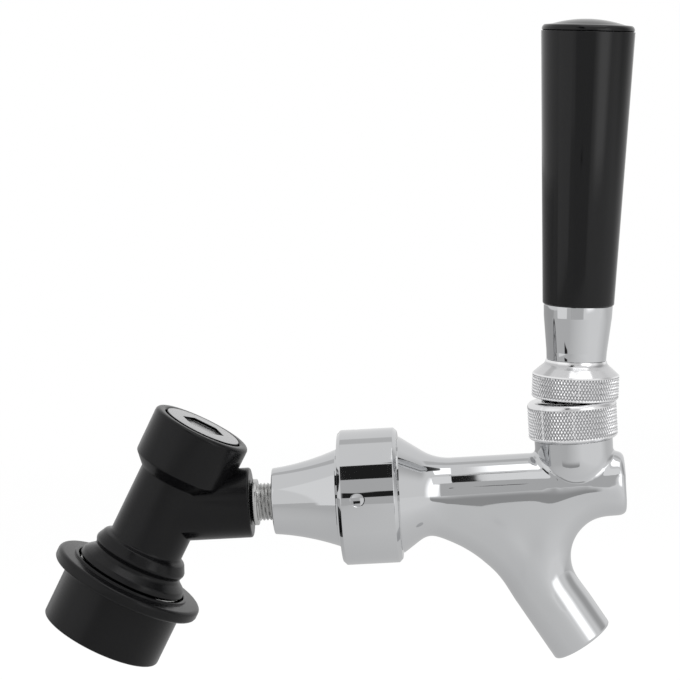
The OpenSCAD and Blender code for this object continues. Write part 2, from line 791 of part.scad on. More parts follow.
module poppet() {
    on_disconnect() color("ivory")
        lathed([[0, pin_low_s], [pin_r - 0.3, pin_low_s], [pin_r, pin_low_s + 0.3], [pin_r, head_s],
            [poppet_head_r, head_s], [poppet_head_r, head_s + head_plate_len],
            [poppet_boss_r, head_s + head_plate_len], [poppet_boss_r - 0.4, head_s + head_len],
            [0, head_s + head_len]]);
}

module poppet_o_ring() {
    on_disconnect() color([0.12, 0.12, 0.12])
        translate([0, 0, head_s - o_ring_r])
            ring_o(web_hole_r + o_ring_r + 0.1, o_ring_r);
}

module poppet_spring() {
    low = head_s + head_plate_len;
    on_disconnect() color("silver")
        translate([0, 0, low])
            coil(spring_wire_r, spring_coil_r, cap_pilot_s - low, 6);
}

module release_collar() {
    flange_s = collar_top_s - flange_len;
    top_r = ramp_r - ramp_slope * (spring_seat_s - lock_ball_s);
    low_r = ramp_r + ramp_slope * (lock_ball_s - ramp_low_s);
    on_disconnect() color(black)
        lathed(concat(
            [[collar_bore_r, spring_seat_s], [top_r, spring_seat_s], [low_r, ramp_low_s],
                [low_r, skirt_s + 0.3], [low_r + 0.3, skirt_s], [skirt_r - 0.6, skirt_s],
                [skirt_r, skirt_s + 0.6], [skirt_r, flange_s]],
            arc(flange_r - 0.9, flange_s + 0.9, 0.9, 270, 360, 4),
            arc(flange_r - 1.2, collar_top_s - 1.2, 1.2, 0, 90, 5),
            [[collar_bore_r + collar_lip_w, collar_top_s],
                [collar_bore_r + collar_lip_w - 0.15, bell_s - face_gap], [collar_bore_r, bell_s - face_gap]]));
}

module collar_spring() {
    on_disconnect() color("silver")
        translate([0, 0, spring_seat_s])
            coil(0.5, (spigot_r + collar_bore_r) / 2, bell_s - spring_seat_s, 3, steps = 32);
}

module retaining_ring() {
    on_disconnect() color("silver")
        translate([0, 0, ring_top_s - ring_len])
            difference() {
                cylinder(r = ring_r, h = ring_len - 0.05);
                translate([0, 0, -1])
                    cylinder(r = ring_groove_r + 0.02, h = ring_len + 2);
                translate([0, -1.2, -1])
                    cube([ring_r + 1, 2.4, ring_len + 2]);
            }
}

module locking_ball(i) {
    on_disconnect() color("silver")
        at_lock_ball(i)
            sphere(r = lock_ball_r);
}

faucet_body();
coupling_nut();
coupling_gasket();
adapter();
nipple_washer();
branch_nipple();
valve_shaft();
seat_washer();
seat_nut();
ball_washer();
ball_bushing();
bonnet();
lever();
lever_collar();
handle_ferrule();
handle_stud();
handle_grip();
handle_cap();
disconnect_body();
top_cap();
cap_o_ring();
poppet();
poppet_o_ring();
poppet_spring();
release_collar();
collar_spring();
retaining_ring();
locking_ball(1);  // locking_ball_1
locking_ball(2);  // locking_ball_2
locking_ball(3);  // locking_ball_3
locking_ball(4);  // locking_ball_4
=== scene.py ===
import json
import math

import bmesh
import bpy
from mathutils import Matrix, Vector, kdtree


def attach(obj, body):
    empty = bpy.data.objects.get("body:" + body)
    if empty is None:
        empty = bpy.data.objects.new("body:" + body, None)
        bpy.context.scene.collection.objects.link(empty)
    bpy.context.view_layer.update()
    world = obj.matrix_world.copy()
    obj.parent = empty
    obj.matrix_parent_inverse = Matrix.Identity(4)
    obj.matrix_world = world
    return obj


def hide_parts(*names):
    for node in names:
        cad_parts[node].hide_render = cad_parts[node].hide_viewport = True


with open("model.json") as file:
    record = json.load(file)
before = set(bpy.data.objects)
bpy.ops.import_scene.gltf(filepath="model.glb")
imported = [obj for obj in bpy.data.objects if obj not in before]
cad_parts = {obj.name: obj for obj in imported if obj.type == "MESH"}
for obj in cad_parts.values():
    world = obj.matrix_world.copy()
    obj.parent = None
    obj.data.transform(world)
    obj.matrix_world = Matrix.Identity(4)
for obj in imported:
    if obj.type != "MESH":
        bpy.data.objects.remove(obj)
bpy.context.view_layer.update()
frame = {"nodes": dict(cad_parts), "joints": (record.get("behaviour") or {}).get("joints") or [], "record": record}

mm = 0.001
cad = frame["nodes"]
joints = {j["name"]: j for j in frame["joints"]}

# The faucet is drawn in millimetres from the lever neck's axis at the height of the body's axis,
# the lever from the middle of its ball, and the disconnect from where the branch meets its axis
neckToPivot = 12.5
leverLean = math.radians(5)
discLean = math.radians(29.5)
socketStation = -24.11
pivot = Vector(joints["lever_tilt"]["pos_m"])
faucetPlace = Matrix.Translation(pivot - Vector((0, 0, neckToPivot * mm))) @ Matrix.Scale(mm, 4)
sideways = Matrix.Rotation(math.pi / 2, 4, "Y")
alongBody = faucetPlace @ sideways
leverPlace = Matrix.Translation(pivot) @ Matrix.Rotation(leverLean, 4, "Y") @ Matrix.Scale(mm, 4)
discPlace = (Matrix.Rotation(discLean, 4, "Y") @ Matrix.Scale(mm, 4)
             @ Matrix.Translation((0, 0, -socketStation)))


def srgb(hexText):
    parts = [int(hexText[i:i + 2], 16) / 255 for i in (1, 3, 5)]
    return tuple(c / 12.92 if c <= 0.04045 else ((c + 0.055) / 1.055) ** 2.4 for c in parts) + (1,)


def addNode(tree, kind, settings=None, links=None):
    node = tree.nodes.new(kind)
    for name, value in (settings or {}).items():
        if isinstance(name, int) or name in node.inputs:
            node.inputs[name].default_value = value
        else:
            setattr(node, name, value)
    for name, output in (links or {}).items():
        tree.links.new(output, node.inputs[name])
    return node


def startMaterial(name, settings):
    material = bpy.data.materials.new(name)
    material.use_nodes = True
    tree = material.node_tree
    shader = tree.nodes["Principled BSDF"]
    for key, value in settings.items():
        shader.inputs[key].default_value = value
    addNode(tree, "ShaderNodeTexCoord")
    return material


# A grain of a real size in millimetres makes the roughness uneven and gives the surface its relief
def addGrain(material, grainMm, roughLow, roughHigh, reliefMm, detail=2):
    tree = material.node_tree
    shader = tree.nodes["Principled BSDF"]
    place = tree.nodes["Texture Coordinate"].outputs["Object"]
    grain = addNode(tree, "ShaderNodeTexNoise", {"Scale": 1 / (grainMm * mm), "Detail": detail},
                    {"Vector": place})
    rough = addNode(tree, "ShaderNodeMapRange",
                    {"From Min": 0.3, "From Max": 0.7, "To Min": roughLow, "To Max": roughHigh},
                    {"Value": grain.outputs["Fac"]})
    relief = addNode(tree, "ShaderNodeBump", {"Strength": 0.5, "Distance": reliefMm * mm},
                     {"Height": grain.outputs["Fac"]})
    tree.links.new(rough.outputs["Result"], shader.inputs["Roughness"])
    tree.links.new(relief.outputs["Normal"], shader.inputs["Normal"])
    return relief


# The base colour goes from one shade to another by the value that a node gives
def mixShades(material, first, second, share):
    tree = material.node_tree
    shades = addNode(tree, "ShaderNodeMix", {"data_type": "RGBA", 6: srgb(first), 7: srgb(second)},
                     {0: share})
    tree.links.new(shades.outputs[2], tree.nodes["Principled BSDF"].inputs["Base Color"])


# Two shades of one colour lie in soft clouds, as they do on handled plastic and metal
def addShades(material, sizeMm, first, second):
    tree = material.node_tree
    place = tree.nodes["Texture Coordinate"].outputs["Object"]
    cloud = addNode(tree, "ShaderNodeTexNoise", {"Scale": 1 / (sizeMm * mm), "Detail": 3},
                    {"Vector": place})
    mixShades(material, first, second, cloud.outputs["Fac"])


# Chromium plate over polished brass: a mirror with the slight swell that a buffing wheel leaves
def makeMirrorChrome():
    material = startMaterial("mirrorChrome", {"Metallic": 1.0})
    addShades(material, 11, "#c7c8ca", "#cbcccd")
    addGrain(material, 12, 0.028, 0.045, 0.012, 1)
    return material


# Chromium plate over a pressed knurl: bright crests, and grooves darkened by their pointiness as painted shade
def makeKnurledChrome():
    material = startMaterial("knurledChrome", {"Metallic": 1.0})
    addGrain(material, 0.4, 0.09, 0.17, 0.006)
    tree = material.node_tree
    shape = addNode(tree, "ShaderNodeNewGeometry")
    # Painted shade: the base colour goes dark where the pointiness marks a groove
    crest = addNode(tree, "ShaderNodeMapRange", {"From Min": 0.44, "From Max": 0.53},
                    {"Value": shape.outputs["Pointiness"]})
    mixShades(material, "#6c6d70", "#f0f0f1", crest.outputs["Result"])
    return material


# Turned stainless steel: a clean shine, softened by tool marks too fine to show one by one
def makeTurnedSteel():
    material = startMaterial("turnedSteel", {"Metallic": 1.0})
    addShades(material, 3, "#bcbcbb", "#c6c6c5")
    addGrain(material, 0.6, 0.17, 0.24, 0.002)
    return material


# The disconnect's cap. Its finish reads these sizes too, so that only its face and the socket's floor are grey,
# each to within its slack, and the rest is painted dark as shade
capSizes = {"radius": 10.1, "top": 23.6, "edge": 0.35, "seatS": 21.8, "plugR": 9, "plugS": 12.3,
            "guideR": 5.5, "guideS": 7.4, "hexAcross": 10.2, "hexDepth": 0.75,
            "faceSlack": 0.08, "floorSlack": 0.05}


# Bead-blasted grey metal with painted shade on the socket's walls and the cap's edge: an even sheen from 0.3 mm
# dimples
def makeBlastedGrey(c):
    material = startMaterial("blastedGreyMetal", {"Metallic": 1.0})
    addGrain(material, 0.3, 0.22, 0.32, 0.006)
    tree = material.node_tree
    axis = (discPlace.to_3x3() @ Vector((0, 0, 1))).normalized()
    face = axis.dot(discPlace @ Vector((0, 0, c["top"])))
    along = addNode(tree, "ShaderNodeVectorMath", {"operation": "DOT_PRODUCT", 1: axis},
                    {0: tree.nodes["Texture Coordinate"].outputs["Object"]})
    onFace, onFloor = [
        addNode(tree, "ShaderNodeMath",
                {"operation": "COMPARE", 1: face - depth * mm, 2: slack * mm},
                {0: along.outputs["Value"]}).outputs[0]
        for depth, slack in ((0, c["faceSlack"]), (c["hexDepth"], c["floorSlack"]))]
    flat = addNode(tree, "ShaderNodeMath", {"operation": "MAXIMUM"}, {0: onFace, 1: onFloor})
    # Painted shade: near-black everywhere but the face and the socket's floor, darkening the socket's walls and
    # the gap at the cap's edge
    mixShades(material, "#0d0d0e", "#b4b4b5", flat.outputs[0])
    return material


# Gloss black phenolic: a deep gloss with the faint orange peel of a moulded surface, 3 mm across
def makeGlossBlack():
    material = startMaterial("glossBlackPhenolic", {"IOR": 1.5, "Specular IOR Level": 0.3})
    addShades(material, 9, "#050506", "#080809")
    addGrain(material, 3, 0.09, 0.13, 0.01, 1)
    return material


# Satin black acetal: a fine mould grain, with the rings of the lathed mould half a millimetre apart
def makeSatinBlack():
    ringPitch, wavePeriod = 0.5 * mm, 0.314  # the period is that of the wave texture at scale 1
    material = startMaterial("satinBlackAcetal", {"IOR": 1.48, "Specular IOR Level": 0.23})
    addShades(material, 8, "#060607", "#0a0a0b")
    relief = addGrain(material, 0.35, 0.2, 0.27, 0.006, 3)
    tree = material.node_tree
    along = addNode(tree, "ShaderNodeMapping", {"Rotation": (0, -discLean, 0)},
                    {"Vector": tree.nodes["Texture Coordinate"].outputs["Object"]})
    rings = addNode(tree, "ShaderNodeTexWave",
                    {"wave_type": "RINGS", "rings_direction": "Z", "Scale": wavePeriod / ringPitch,
                     "Distortion": 0.4, "Detail": 1.0}, {"Vector": along.outputs["Vector"]})
    marks = addNode(tree, "ShaderNodeBump", {"Strength": 0.4, "Distance": 0.004 * mm},
                    {"Height": rings.outputs["Fac"], "Normal": relief.outputs["Normal"]})
    tree.links.new(marks.outputs["Normal"], tree.nodes["Principled BSDF"].inputs["Normal"])
    return material


# Sealing rubber, inside: dull black, moulded with a soft grain
def makeSealRubber():
    material = startMaterial("sealRubber", {"IOR": 1.5})
    addShades(material, 4, "#19191a", "#232324")
    addGrain(material, 0.5, 0.6, 0.75, 0.02)
    return material


# Natural nylon, inside: off-white and slightly waxy, with a soft moulded grain
def makeNylon():
    material = startMaterial("offWhiteNylon", {"IOR": 1.53})
    addShades(material, 6, "#dedaca", "#e6e3d8")
    addGrain(material, 1.2, 0.42, 0.5, 0.01)
    return material


finishes = {"chrome": makeMirrorChrome(), "chrome_knurled": makeKnurledChrome(),
            "stainless": makeTurnedSteel(), "seal_rubber": makeSealRubber(),
            "white_nylon": makeNylon(), "gloss_black": makeGlossBlack(),
            "moulded_black": makeSatinBlack(), "cap_grey": makeBlastedGrey(capSizes)}
slotOf = {p["node"]: p["material_slot"] for p in frame["record"]["subparts"]}
for nodeName, nodeObject in cad.items():
    nodeObject.data.materials.clear()
    nodeObject.data.materials.append(finishes[slotOf[nodeName]])
print("materials made for", len(slotOf), "nodes")


def arcPoints(centre, radius, startDeg, endDeg, steps):
    angles = [math.radians(startDeg + (endDeg - startDeg) * i / steps) for i in range(steps + 1)]
    return [(centre[0] + radius * math.cos(a), centre[1] + radius * math.sin(a)) for a in angles]


# Corners with a third number are rounded by that radius
def softCorners(points, steps=5):
    out = []
    count = len(points)
    for i, point in enumerate(points):
        here = Vector(point[:2])
        if len(point) < 3:
            out.append(tuple(here))
            continue
        before = (Vector(points[i - 1][:2]) - here).normalized()
        after = (Vector(points[(i + 1) % count][:2]) - here).normalized()
        half = before.angle(after) / 2
        reach = point[2] / math.tan(half)
        centre = here + (before + after).normalized() * (point[2] / math.sin(half))
        first = here + before * reach - centre
        last = here + after * reach - centre
        turn = first.angle_signed(last)
        for k in range(steps + 1):
            a = -turn * k / steps
            spoke = Vector((first.x * math.cos(a) - first.y * math.sin(a),
                            first.x * math.sin(a) + first.y * math.cos(a)))
            out.append(tuple(centre + spoke))
    return out


def markSharp(bm, degrees=32):
    for face in bm.faces:
        face.smooth = True
    for edge in bm.edges:
        edge.smooth = len(edge.link_faces) == 2 and edge.calc_face_angle() < math.radians(degrees)


# A closed profile of (radius, height) points, spun about the upright axis
def spunMesh(points, steps=128):
    bm = bmesh.new()
    verts = [bm.verts.new((r, 0, h)) for r, h in points]
    edges = [bm.edges.new((verts[i], verts[(i + 1) % len(verts)])) for i in range(len(verts))
             if not (points[i][0] < 1e-6 and points[(i + 1) % len(verts)][0] < 1e-6)]
    bmesh.ops.spin(bm, geom=verts + edges, axis=(0, 0, 1), cent=(0, 0, 0), angle=2 * math.pi,
                   steps=steps, use_merge=True)
    bmesh.ops.remove_doubles(bm, verts=bm.verts, dist=1e-4)
    bmesh.ops.recalc_face_normals(bm, faces=bm.faces)
    return bm


def meshObject(name, bm, place=None):
    if place is not None:
        bmesh.ops.transform(bm, matrix=place, verts=bm.verts)
    mesh = bpy.data.meshes.new(name)
    bm.to_mesh(mesh)
    bm.free()
    made = bpy.data.objects.new(name, mesh)
    bpy.context.scene.collection.objects.link(made)
    return made


def cutWith(target, cutter, operation="DIFFERENCE"):
    step = target.modifiers.new("cut", "BOOLEAN")
    step.operation = operation
    step.object = cutter
    step.solver = "EXACT"
    applyModifiers(target)
    bpy.data.objects.remove(cutter)


def applyModifiers(target):
    bpy.context.view_layer.update()
    seen = target.evaluated_get(bpy.context.evaluated_depsgraph_get())
    mesh = bpy.data.meshes.new_from_object(seen)
    target.modifiers.clear()
    target.data = mesh


# The piece takes the finish of the CAD node that it stands for
def finishPiece(made, node, body, sharp=32):
    bm = bmesh.new()
    bm.from_mesh(made.data)
    bmesh.ops.remove_doubles(bm, verts=bm.verts, dist=1e-7)
    markSharp(bm, sharp)
    bm.to_mesh(made.data)
    bm.free()
    made.data.materials.clear()
    made.data.materials.append(finishes[slotOf[node]])
    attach(made, body)
    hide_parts(node)


# Faucet body: four turned forms, two bends and a web between them, faired into one casting.
# Each form starts longer by the overrun, and is trimmed after the fairing
casting = {
    "rimX": -44.6, "rimR": 14.85, "slope": 34, "flareR": 13.4, "waistR": 8.8, "rimTrim": 0.1,
    "barrelR": 8.9, "taperX": -12, "taper": 0.3, "frontX": 12.5, "frontR": 8.3, "frontRound": 1.9,
    "neckR": 9.95, "neckBallZ": 7.9, "neckTop": 12.15, "neckBoreR": 7.55, "neckBoreZ": 6.2,
    "spoutX": -24.7, "spoutR": 8.3, "spoutLen": 47.2, "spoutLean": 31, "spoutBoreR": 4.7,
    "outletR": 5.2, "outletLen": 24, "bendR": 8.24, "frontCrotchR": 10.3, "backCrotchR": 31.3,
    "backDrop": 1.5, "webTop": 8.7, "webLow": 6.75, "webSteps": 30, "overrun": 3,
    "rearBoreR": 8.8, "rearThreadR": 14.2, "rearThreadX": -55.3, "neckThreadR": 8.85,
    "neckThreadTop": 17.2}


def castingProfile(c):
    slope = math.radians(c["slope"])
    drop = c["flareR"] * (1 - math.cos(slope))
    coneLen = (c["rimR"] - c["waistR"] - drop) / math.tan(slope)
    waistX = c["rimX"] + coneLen + c["flareR"] * math.sin(slope)
    flare = arcPoints((waistX, c["waistR"] + c["flareR"]), c["flareR"], -90 - c["slope"], -90, 24)
    startX = c["rimX"] - c["overrun"]
    startR = c["rimR"] + c["overrun"] * math.tan(slope)
    nose = arcPoints((c["frontX"] - c["frontRound"], c["frontR"] - c["frontRound"]),
                     c["frontRound"], 88, 0, 10)
    barrel = [(c["taperX"], c["barrelR"]), (0, c["barrelR"] - c["taper"])]
    along = [(startX, 0), (startX, startR)] + flare + barrel + nose + [(c["frontX"], 0)]
    return [(r, x) for x, r in along]


def bendMesh(c, crotchR, startDeg, sweepDeg, centre):
    bm = bmesh.new()
    ring = bmesh.ops.create_circle(bm, segments=96, radius=c["bendR"])["verts"]
    start = (Matrix.Rotation(-math.radians(startDeg), 4, "Y")
             @ Matrix.Translation((crotchR + c["bendR"], 0, 0)))
    bmesh.ops.transform(bm, verts=ring, matrix=start)
    bmesh.ops.spin(bm, geom=ring + list(bm.edges), axis=(0, -1, 0), cent=(0, 0, 0),
                   angle=math.radians(sweepDeg), steps=48)
    bmesh.ops.holes_fill(bm, edges=bm.edges)
    bmesh.ops.recalc_face_normals(bm, faces=bm.faces)
    bmesh.ops.translate(bm, verts=bm.verts, vec=(centre[0], 0, centre[1]))
    return bm


# Fills the hollow between the bends, a little thinner towards the spout
def webMesh(c, front, back):
    steps, lean = c["webSteps"], c["spoutLean"]
    outline = arcPoints(front, c["frontCrotchR"] + c["bendR"], 90, 180 + lean, steps)
    low = outline[-1][1]
    outline += arcPoints(back, c["backCrotchR"] + c["bendR"], lean, 90, steps)
    bm = bmesh.new()
    side = bm.faces.new([bm.verts.new((x, 0, z)) for x, z in outline])
    grown = bmesh.ops.extrude_face_region(bm, geom=[side])["geom"]
    for vert in bm.verts:
        half = c["webTop"] + (c["webLow"] - c["webTop"]) * vert.co.z / low
        vert.co.y = half if vert in grown else -half
    bmesh.ops.recalc_face_normals(bm, faces=bm.faces)
    return bm


def joinForms(c, onSpout):
    lean = math.radians(c["spoutLean"])
    skin = meshObject("faucetCasting", spunMesh(castingProfile(c), 160), sideways)
    neckTop, spoutEnd = c["neckTop"] + c["overrun"], c["spoutLen"] + c["overrun"]
    neck = arcPoints((0, c["neckBallZ"]), c["neckR"], -90, 0, 24)
    neck += [(c["neckR"], neckTop), (0, neckTop)]
    spout = [(0, 0), (c["spoutR"], 0), (c["spoutR"], spoutEnd), (0, spoutEnd)]
    frontReach = c["frontCrotchR"] + c["bendR"]
    front = (frontReach * (1 + math.sin(lean)) / math.cos(lean) + c["spoutX"], -frontReach)
    backReach = c["backCrotchR"] + c["bendR"]
    backZ = -backReach - c["backDrop"]
    back = (-(backReach + backZ * math.sin(lean)) / math.cos(lean) + c["spoutX"], backZ)
    leanDeg = c["spoutLean"]
    for bm, place in ((spunMesh(neck, 160), None), (spunMesh(spout, 160), onSpout),
                      (bendMesh(c, c["frontCrotchR"], 90, 90 + leanDeg, front), None),
                      (bendMesh(c, c["backCrotchR"], leanDeg, 90 - leanDeg, back), None),
                      (webMesh(c, front, back), None)):
        cutWith(skin, meshObject("form", bm, place), "UNION")
    return skin


# How the casting is faired: a crease is smoothed as far as its fillet reaches, in rounds that draw
# closer to it. The neck's own crease is tighter, and takes part only in every sixth round
fairing = {"voxel": 0.4, "creaseAngle": 3, "creaseStep": 0.4, "neckFillet": 2.0, "webFillet": 5,
           "neckReach": 14, "neckLow": 1, "neckEvery": 6, "rounds": 90, "reach": 1.25, "draw": 0.9}


# Creases are where the forms meet: points along them steer the fairing
def findCreases(mesh, f):
    bm = bmesh.new()
    bm.from_mesh(mesh)
    points = []
    for edge in bm.edges:
        if (len(edge.link_faces) == 2
                and edge.calc_face_angle_signed() < -math.radians(f["creaseAngle"])):
            a, b = (v.co for v in edge.verts)
            count = max(1, int((a - b).length / f["creaseStep"]))
            points += [a.lerp(b, i / count) for i in range(count + 1)]
    bm.free()
    tree = kdtree.KDTree(len(points))
    for i, point in enumerate(points):
        tree.insert(point, i)
    tree.balance()
    print("casting joined,", len(points), "crease points")
    return tree


# The joined forms are given an even mesh, laid back on their surface and smoothed at the creases
def fairSkin(skin, f):
    outline = skin.copy()
    outline.data = skin.data.copy()
    bpy.context.scene.collection.objects.link(outline)
    creases = findCreases(outline.data, f)
    remesh = skin.modifiers.new("skin", "REMESH")
    remesh.mode = "VOXEL"
    remesh.voxel_size = f["voxel"]
    wrap = skin.modifiers.new("wrap", "SHRINKWRAP")
    wrap.target = outline
    applyModifiers(skin)
    bpy.data.objects.remove(outline)
    bm = bmesh.new()
    bm.from_mesh(skin.data)
    near = []
    for vert in bm.verts:
        spot, index, gap = creases.find(vert.co)
        atNeck = spot.z > f["neckLow"] and abs(spot.x) < f["neckReach"]
        near.append((vert, gap / (f["neckFillet"] if atNeck else f["webFillet"]), atNeck))
    for i in range(f["rounds"]):
        limit = f["reach"] - f["draw"] * i / f["rounds"]
        chosen = [v for v, share, atNeck in near
                  if share < limit and (not atNeck or i % f["neckEvery"] == 0)]
        bmesh.ops.smooth_vert(bm, verts=chosen, factor=0.5,
                              use_axis_x=True, use_axis_y=True, use_axis_z=True)
    bm.to_mesh(skin.data)
    bm.free()
    print("casting faired,", len(skin.data.polygons), "faces")


# Cuts the ends to length, opens the bores and adds the two threads at their major radius
def trimSkin(skin, c, onSpout):
    clearR, clearLen, threadTop = 30, 9, 19
    rear, mouth, rimR = c["rimX"] - c["rimTrim"], c["spoutLen"], c["spoutR"]
    rearTrim = [(14.9, rear), (14.9, rear + 0.02), (clearR, rear + 0.02), (clearR, rear - clearLen),
                (0, rear - clearLen), (0, rear)]
    neckTrim = [(c["neckBoreR"], c["neckBoreZ"]), (c["neckBoreR"], c["neckTop"]),
                (clearR, c["neckTop"]), (clearR, threadTop), (0, threadTop), (0, c["neckBoreZ"])]
    outlet = mouth - c["outletLen"]
    spoutTrim = [(0, 8), (c["spoutBoreR"], 8), (c["spoutBoreR"], outlet), (c["outletR"], outlet),
                 (c["outletR"], mouth - 0.4), (c["outletR"] + 0.4, mouth), (rimR - 0.62, mouth),
                 (rimR - 0.3, mouth - 0.1), (rimR - 0.08, mouth - 0.32), (rimR, mouth - 0.7),
                 (11, mouth - 0.7), (11, mouth + clearLen), (0, mouth + clearLen)]
    for points, place in ((rearTrim, sideways), (neckTrim, None), (spoutTrim, onSpout)):
        cutWith(skin, meshObject("trim", spunMesh(points, 96), place))
    boreR, threadR, threadX = c["rearBoreR"], c["rearThreadR"], c["rearThreadX"]
    rearThread = [(boreR, threadX), (threadR - 0.5, threadX), (threadR, threadX + 0.5),
                  (threadR, rear + 0.3), (boreR, rear + 0.3)]
    neckThread = [(c["neckBoreR"], 12), (c["neckThreadR"], 12),
                  (c["neckThreadR"], c["neckThreadTop"]), (c["neckBoreR"], c["neckThreadTop"])]
    for points, place in ((rearThread, sideways), (neckThread, None)):
        cutWith(skin, meshObject("thread", spunMesh(points, 96), place), "UNION")


def makeCasting(c, f):
    onSpout = (Matrix.Translation((c["spoutX"], 0, 0))
               @ Matrix.Rotation(math.pi - math.radians(c["spoutLean"]), 4, "Y"))
    skin = joinForms(c, onSpout)
    fairSkin(skin, f)
    trimSkin(skin, c, onSpout)
    skin.data.transform(faucetPlace)
    finishPiece(skin, "faucet_body", "root", 40)


makeCasting(casting, fairing)
print("casting made")

# Coupling nut: turned, with rounded chamfers, and four drilled spanner holes with a small flare
nutSizes = {"rear": -60.3, "front": -45.1, "r": 17.3, "bevel": 0.9, "endRound": 0.2,
            "sideRound": 0.25, "lipR": 12.9, "boreR": 14.28, "lipX": -58.45, "holes": 4,
            "turn": 7.3, "holeX": -55.2, "holeR": 1.65, "holeDepth": 2.6, "drillTip": 0.4,
            "flare": 0.4, "flareLow": 0.25, "flareHigh": 0.15}


def makeNut(n):
    flatR, end, side = n["r"] - n["bevel"], n["endRound"], n["sideRound"]
    ring = softCorners([(n["lipR"], n["rear"], end), (flatR, n["rear"], end),
                        (n["r"], n["rear"] + n["bevel"], side),
                        (n["r"], n["front"] - n["bevel"], side), (flatR, n["front"], end),
                        (n["boreR"], n["front"], end), (n["boreR"], n["lipX"]),
                        (n["lipR"], n["lipX"])])
    nut = meshObject("couplingNut", spunMesh(ring, 192), sideways)
    floor = n["r"] - n["holeDepth"]
    for i in range(n["holes"]):
        hole = spunMesh([(0, floor), (n["holeR"], floor + n["drillTip"]),
                         (n["holeR"], n["r"] - n["flareLow"]),
                         (n["holeR"] + n["flare"], n["r"] + n["flareHigh"]), (0, n["r"] + 2)], 48)
        turn = Matrix.Rotation(math.radians(360 * i / n["holes"] + 90 - n["turn"]), 4, "X")
        cutWith(nut, meshObject("hole", hole, Matrix.Translation((n["holeX"], 0, 0)) @ turn))
    nut.data.transform(faucetPlace)
    finishPiece(nut, "coupling_nut", "nut")


makeNut(nutSizes)

# Adapter: a bell-shaped tail that widens towards the nut, first straight and then in a curve
adapterSizes = {"rearX": -77.6, "rearR": 8.5, "rearRound": 0.35, "straight": 0.42, "landX": -59.8,
                "landR": 12.6, "landLen": 1.6, "landStep": 0.18, "stepLen": 0.12, "flangeX": -58.3,
                "flangeR": 13.88, "frontX": -56.5, "boreR": 3.5, "pocketR": 4.94, "pocketX": -66.6}


def makeAdapter(a):
    run = a["landX"] - a["rearX"] - a["landLen"]
    rise = a["landR"] - a["landStep"] - a["rearR"]
    startX = a["rearX"] + a["rearRound"]
    flare = [(a["rearR"] + rise * (a["straight"] * t + (1 - a["straight"]) * t * t),
              startX + run * t) for t in (i / 30 for i in range(31))]
    edge = arcPoints((a["rearR"] - a["rearRound"], startX), a["rearRound"], 270, 350, 5)
    tail = [(a["pocketR"], a["pocketX"]), (a["pocketR"], a["rearX"])] + edge + flare[1:]
    rest = [(a["landR"], flare[-1][1] + a["stepLen"]), (a["landR"], a["landX"]),
            (a["landR"], a["flangeX"]), (a["flangeR"], a["flangeX"]), (a["flangeR"], a["frontX"]),
            (a["boreR"], a["frontX"]), (a["boreR"], a["pocketX"])]
    finishPiece(meshObject("flaredAdapter", spunMesh(tail + rest, 160), alongBody),
                "adapter", "root")


makeAdapter(adapterSizes)

# Threaded stud: 28 threads to the inch, a 0.907 mm pitch, with a groove beside the flange
studSizes = {"rear": -93, "flangeX": -83.3, "flangeLen": 1.7, "flangeR": 5.95, "flangeRound": 0.25,
             "r": 4.86, "boreR": 2.5, "front": -68.2, "threadEnd": -76.8, "pitch": 0.907,
             "threadDepth": 0.42, "rowsPerPitch": 10, "grooveLen": 0.3, "grooveDepth": 0.2}


def makeStud(s):
    flangeEnd = s["flangeX"] + s["flangeLen"]
    grooveEnd, grooveR = flangeEnd + s["grooveLen"], s["r"] - s["grooveDepth"]
    start = grooveEnd + 0.05
    rows = int((s["threadEnd"] - flangeEnd) / (s["pitch"] / s["rowsPerPitch"]))
    band = [(s["r"], start + (s["threadEnd"] - start) * i / rows) for i in range(rows + 1)]
    profile = [(s["boreR"], s["rear"]), (s["r"], s["rear"]), (s["r"], s["flangeX"])]
    profile += softCorners([(s["flangeR"], s["flangeX"], s["flangeRound"]),
                            (s["flangeR"], flangeEnd, s["flangeRound"]), (grooveR, flangeEnd)])
    profile += [(grooveR, grooveEnd)] + band + [(s["r"], s["front"]), (s["boreR"], s["front"])]
    bm = spunMesh(profile, 96)
    for vert in bm.verts:
        x, y, h = vert.co
        r = math.hypot(x, y)
        if grooveEnd + 0.02 < h < s["threadEnd"] + 0.01 and r > grooveR - 0.01:
            turn = (h / s["pitch"] - math.atan2(y, x) / (2 * math.pi)) % 1
            wave = abs(2 * turn - 1)
            depth = s["threadDepth"] * min(1, max(0, 1.25 * wave - 0.1))  # flat crests and roots
            vert.co.x *= (r - depth) / r
            vert.co.y *= (r - depth) / r
    finishPiece(meshObject("threadedStud", bm, alongBody), "branch_nipple", "root", 50)


makeStud(studSizes)
print("nut, adapter and stud made")

# Diamond knurls: two sets of 84 flutes at 30 degrees, about 0.8 mm apart, with flat-topped crests
# and a fade at both ends of the band
knurl = {"starts": 84, "slant": math.radians(30), "depth": 0.34, "crest": 0.18, "fade": 0.35,
         "perFlute": 7, "rowsPerRise": 14}


def knurlRise(radius):
    return 2 * math.pi * radius / knurl["starts"] / math.tan(knurl["slant"])


# Presses crossed flutes into the band of a spun mesh
def cutKnurl(bm, radius, low, high):
    rise = knurlRise(radius)
    for vert in bm.verts:
        x, y, h = vert.co
        if low < h < high and math.hypot(x, y) > radius - 0.02:
            around = knurl["starts"] * math.atan2(y, x) / (2 * math.pi)
            a = abs(2 * ((around + h / rise) % 1) - 1)
            b = abs(2 * ((around - h / rise) % 1) - 1)
            groove = max(0, max(a, b) - knurl["crest"]) / (1 - knurl["crest"])
            fade = min(1, (h - low) / knurl["fade"], (high - h) / knurl["fade"])
            scale = 1 - knurl["depth"] * fade * groove / radius
            vert.co.x *= scale
            vert.co.y *= scale


def knurlRows(radius, low, high):
    rows = int((high - low) / (knurlRise(radius) / knurl["rowsPerRise"]))
    return [(radius, low + (high - low) * i / rows) for i in range(rows + 1)]


